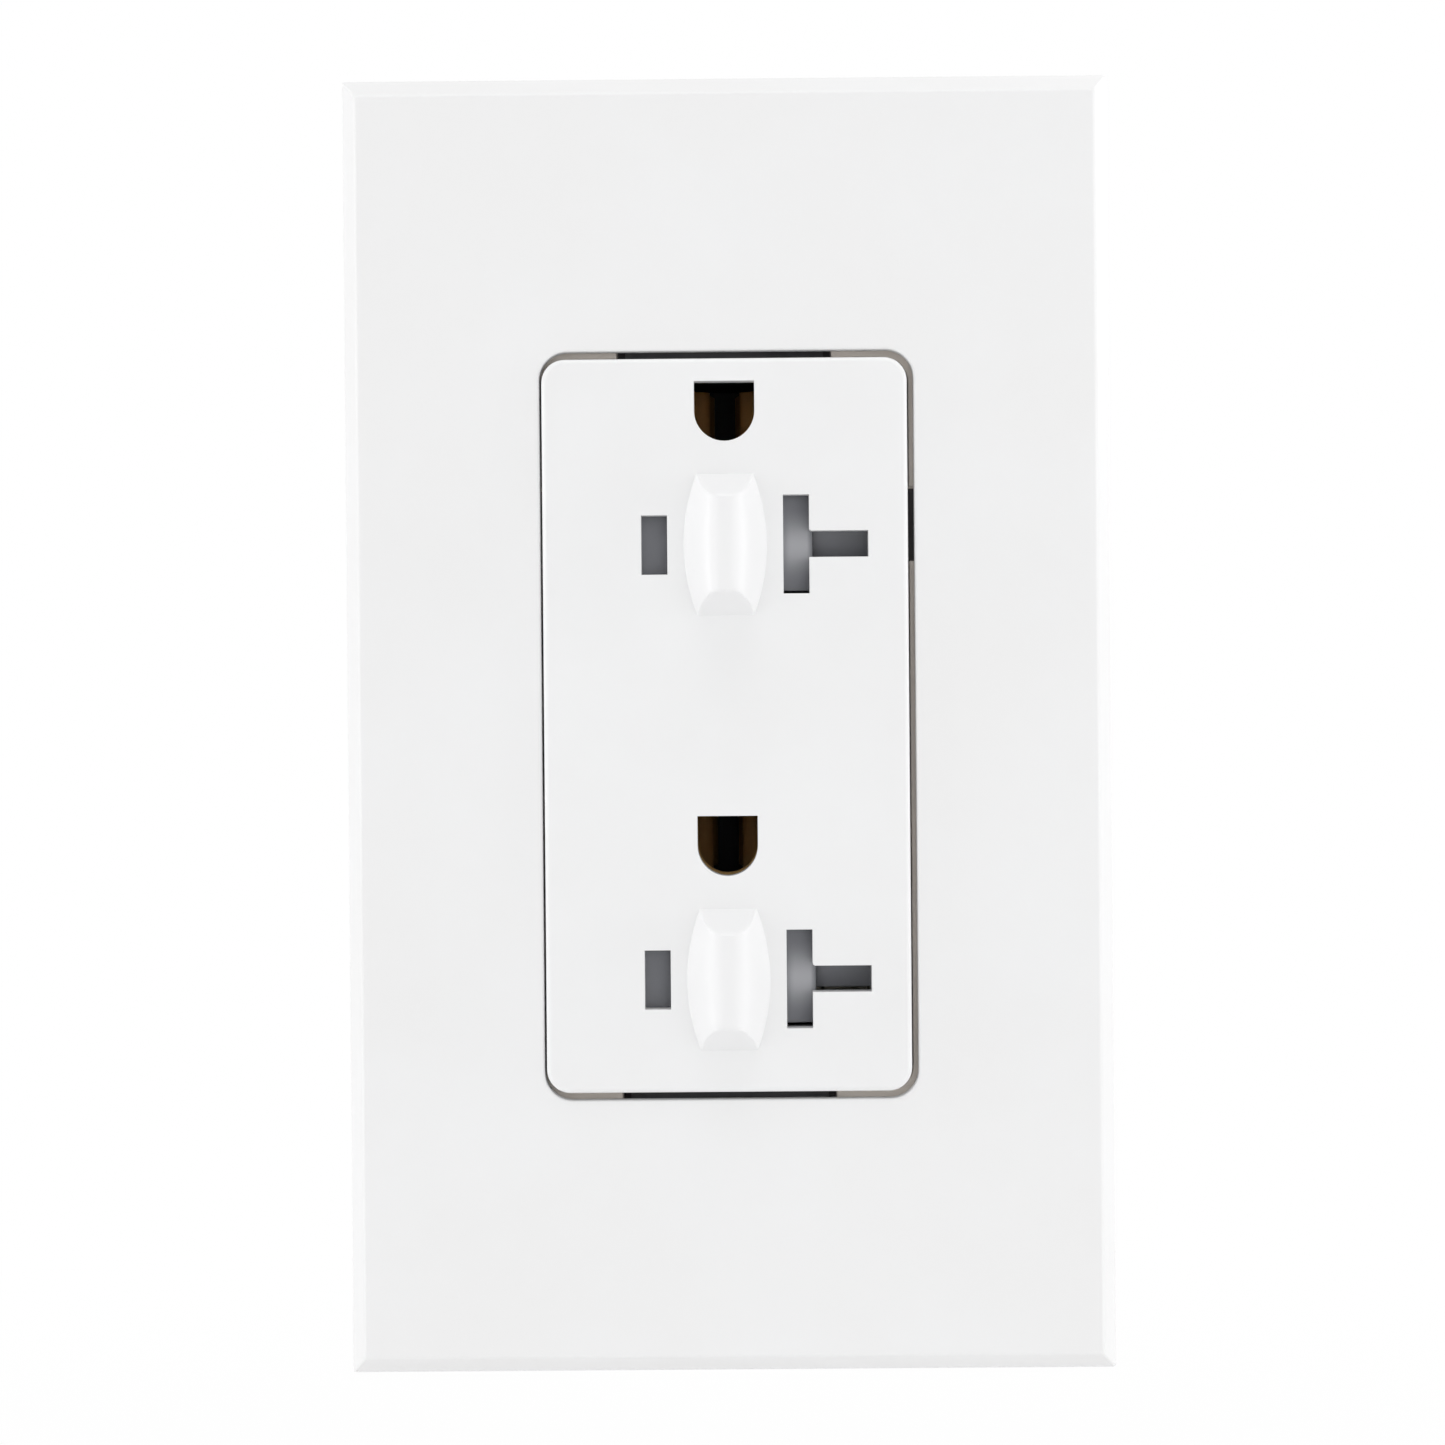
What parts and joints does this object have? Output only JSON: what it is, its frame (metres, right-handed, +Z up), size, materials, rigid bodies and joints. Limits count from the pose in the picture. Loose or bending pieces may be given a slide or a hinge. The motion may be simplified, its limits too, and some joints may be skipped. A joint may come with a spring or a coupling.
{
  "type": "duplex wall receptacle",
  "caption": "White duplex wall receptacle with T-slots, sprung shutters, keying nubs and side clamp terminals on a steel strap, behind a bevelled screwless wallplate.",
  "frame": {"origin": "centre between the two box screws, on the rear face of the strap, which is the wall plane", "axes": "+Z up along the receptacle, +Y back into the wall box, +X to the right seen from the front"},
  "size_m": [0.0698, 0.0351, 0.118],
  "materials": {
    "white_plate": "smooth moulded, satin sheen",
    "white_face": "smooth moulded, satin sheen",
    "adapter_plastic": "plain moulded",
    "shutter_grey": "plain moulded",
    "carrier_black": "plain moulded",
    "body_plastic": "fine moulded grain",
    "galvanised_steel": "zinc plated",
    "spring_steel": "bright drawn wire",
    "contact_brass": "rolled strip",
    "neutral_brass": "tin plated strip",
    "brass_screw": "bright headed",
    "nickel_screw": "nickel plated",
    "green_screw": "green dip",
    "retainer_fibre": "vulcanised fibre"
  },
  "bodies": {
    "receptacle": {"adapter": "adapter_plastic", "adapter_screws": "galvanised_steel", "face": "white_face", "upper_shutter_carrier": "carrier_black", "lower_shutter_carrier": "carrier_black", "upper_shutter_spring": "spring_steel", "lower_shutter_spring": "spring_steel", "upper_arm_spring": "spring_steel", "lower_arm_spring": "spring_steel", "strap": "galvanised_steel", "upper_ground_contact": "contact_brass", "lower_ground_contact": "contact_brass", "ground_rivets": "galvanised_steel", "hot_bus": "contact_brass", "neutral_bus": "neutral_brass", "rear_body": "body_plastic", "body_screws": "galvanised_steel", "mounting_screws": "galvanised_steel", "screw_retainers": "retainer_fibre"},
    "wallplate": {"wallplate": "white_plate"},
    "upper_shutter": {"upper_shutter": "shutter_grey"},
    "lower_shutter": {"lower_shutter": "shutter_grey"},
    "upper_arm_shutter": {"upper_arm_shutter": "shutter_grey"},
    "lower_arm_shutter": {"lower_arm_shutter": "shutter_grey"},
    "hot_upper_clamp": {"hot_upper_clamp": "galvanised_steel"},
    "hot_upper_screw": {"hot_upper_screw": "brass_screw"},
    "hot_lower_clamp": {"hot_lower_clamp": "galvanised_steel"},
    "hot_lower_screw": {"hot_lower_screw": "brass_screw"},
    "neutral_upper_clamp": {"neutral_upper_clamp": "galvanised_steel"},
    "neutral_upper_screw": {"neutral_upper_screw": "nickel_screw"},
    "neutral_lower_clamp": {"neutral_lower_clamp": "galvanised_steel"},
    "neutral_lower_screw": {"neutral_lower_screw": "nickel_screw"},
    "ground_clamp": {"ground_clamp": "galvanised_steel"},
    "ground_screw": {"ground_screw": "green_screw"}
  },
  "joints": [
    {"name": "wallplate_pull", "type": "slide", "parent": "receptacle", "child": "wallplate", "axis": [0, -1, 0], "range_m": [0, 0.025]},
    {"name": "upper_shutter_slide", "type": "slide", "parent": "receptacle", "child": "upper_shutter", "axis": [-1, 0, 0], "range_m": [0, 0.0032], "stiffness_N_per_m": 40, "springref_m": -0.003, "deforming": ["upper_shutter_spring"]},
    {"name": "upper_arm_slide", "type": "slide", "parent": "receptacle", "child": "upper_arm_shutter", "axis": [0, 0, 1], "range_m": [0, 0.0026], "stiffness_N_per_m": 40, "springref_m": -0.003, "deforming": ["upper_arm_spring"]},
    {"name": "lower_shutter_slide", "type": "slide", "parent": "receptacle", "child": "lower_shutter", "axis": [-1, 0, 0], "range_m": [0, 0.0032], "stiffness_N_per_m": 40, "springref_m": -0.003, "deforming": ["lower_shutter_spring"]},
    {"name": "lower_arm_slide", "type": "slide", "parent": "receptacle", "child": "lower_arm_shutter", "axis": [0, 0, 1], "range_m": [0, 0.0026], "stiffness_N_per_m": 40, "springref_m": -0.003, "deforming": ["lower_arm_spring"]},
    {"name": "hot_upper_clamp_slide", "type": "slide", "parent": "receptacle", "child": "hot_upper_clamp", "axis": [-1, 0, 0], "range_m": [0, 0.00238]},
    {"name": "hot_upper_screw_turn", "type": "hinge", "parent": "hot_upper_clamp", "child": "hot_upper_screw", "pos_m": [-0.0155, 0.0075, 0.00816], "axis": [-1, 0, 0], "range_deg": [0, 1080]},
    {"name": "hot_lower_clamp_slide", "type": "slide", "parent": "receptacle", "child": "hot_lower_clamp", "axis": [-1, 0, 0], "range_m": [0, 0.00238]},
    {"name": "hot_lower_screw_turn", "type": "hinge", "parent": "hot_lower_clamp", "child": "hot_lower_screw", "pos_m": [-0.0155, 0.0075, -0.01473], "axis": [-1, 0, 0], "range_deg": [0, 1080]},
    {"name": "neutral_upper_clamp_slide", "type": "slide", "parent": "receptacle", "child": "neutral_upper_clamp", "axis": [1, 0, 0], "range_m": [0, 0.00238]},
    {"name": "neutral_upper_screw_turn", "type": "hinge", "parent": "neutral_upper_clamp", "child": "neutral_upper_screw", "pos_m": [0.0155, 0.0075, 0.00816], "axis": [1, 0, 0], "range_deg": [0, 1080]},
    {"name": "neutral_lower_clamp_slide", "type": "slide", "parent": "receptacle", "child": "neutral_lower_clamp", "axis": [1, 0, 0], "range_m": [0, 0.00238]},
    {"name": "neutral_lower_screw_turn", "type": "hinge", "parent": "neutral_lower_clamp", "child": "neutral_lower_screw", "pos_m": [0.0155, 0.0075, -0.01473], "axis": [1, 0, 0], "range_deg": [0, 1080]},
    {"name": "ground_clamp_slide", "type": "slide", "parent": "receptacle", "child": "ground_clamp", "axis": [-1, 0, 0], "range_m": [0, 0.00238]},
    {"name": "ground_screw_turn", "type": "hinge", "parent": "ground_clamp", "child": "ground_screw", "pos_m": [-0.0159, 0.0052, -0.04167], "axis": [-1, 0, 0], "range_deg": [0, 1080]}
  ],
  "couplings": [
    {"joint": "hot_upper_screw_turn", "follows": "hot_upper_clamp_slide", "rad_per_m": 7915.8},
    {"joint": "hot_lower_screw_turn", "follows": "hot_lower_clamp_slide", "rad_per_m": 7915.8},
    {"joint": "neutral_upper_screw_turn", "follows": "neutral_upper_clamp_slide", "rad_per_m": 7915.8},
    {"joint": "neutral_lower_screw_turn", "follows": "neutral_lower_clamp_slide", "rad_per_m": 7915.8},
    {"joint": "ground_screw_turn", "follows": "ground_clamp_slide", "rad_per_m": 7915.8}
  ]
}
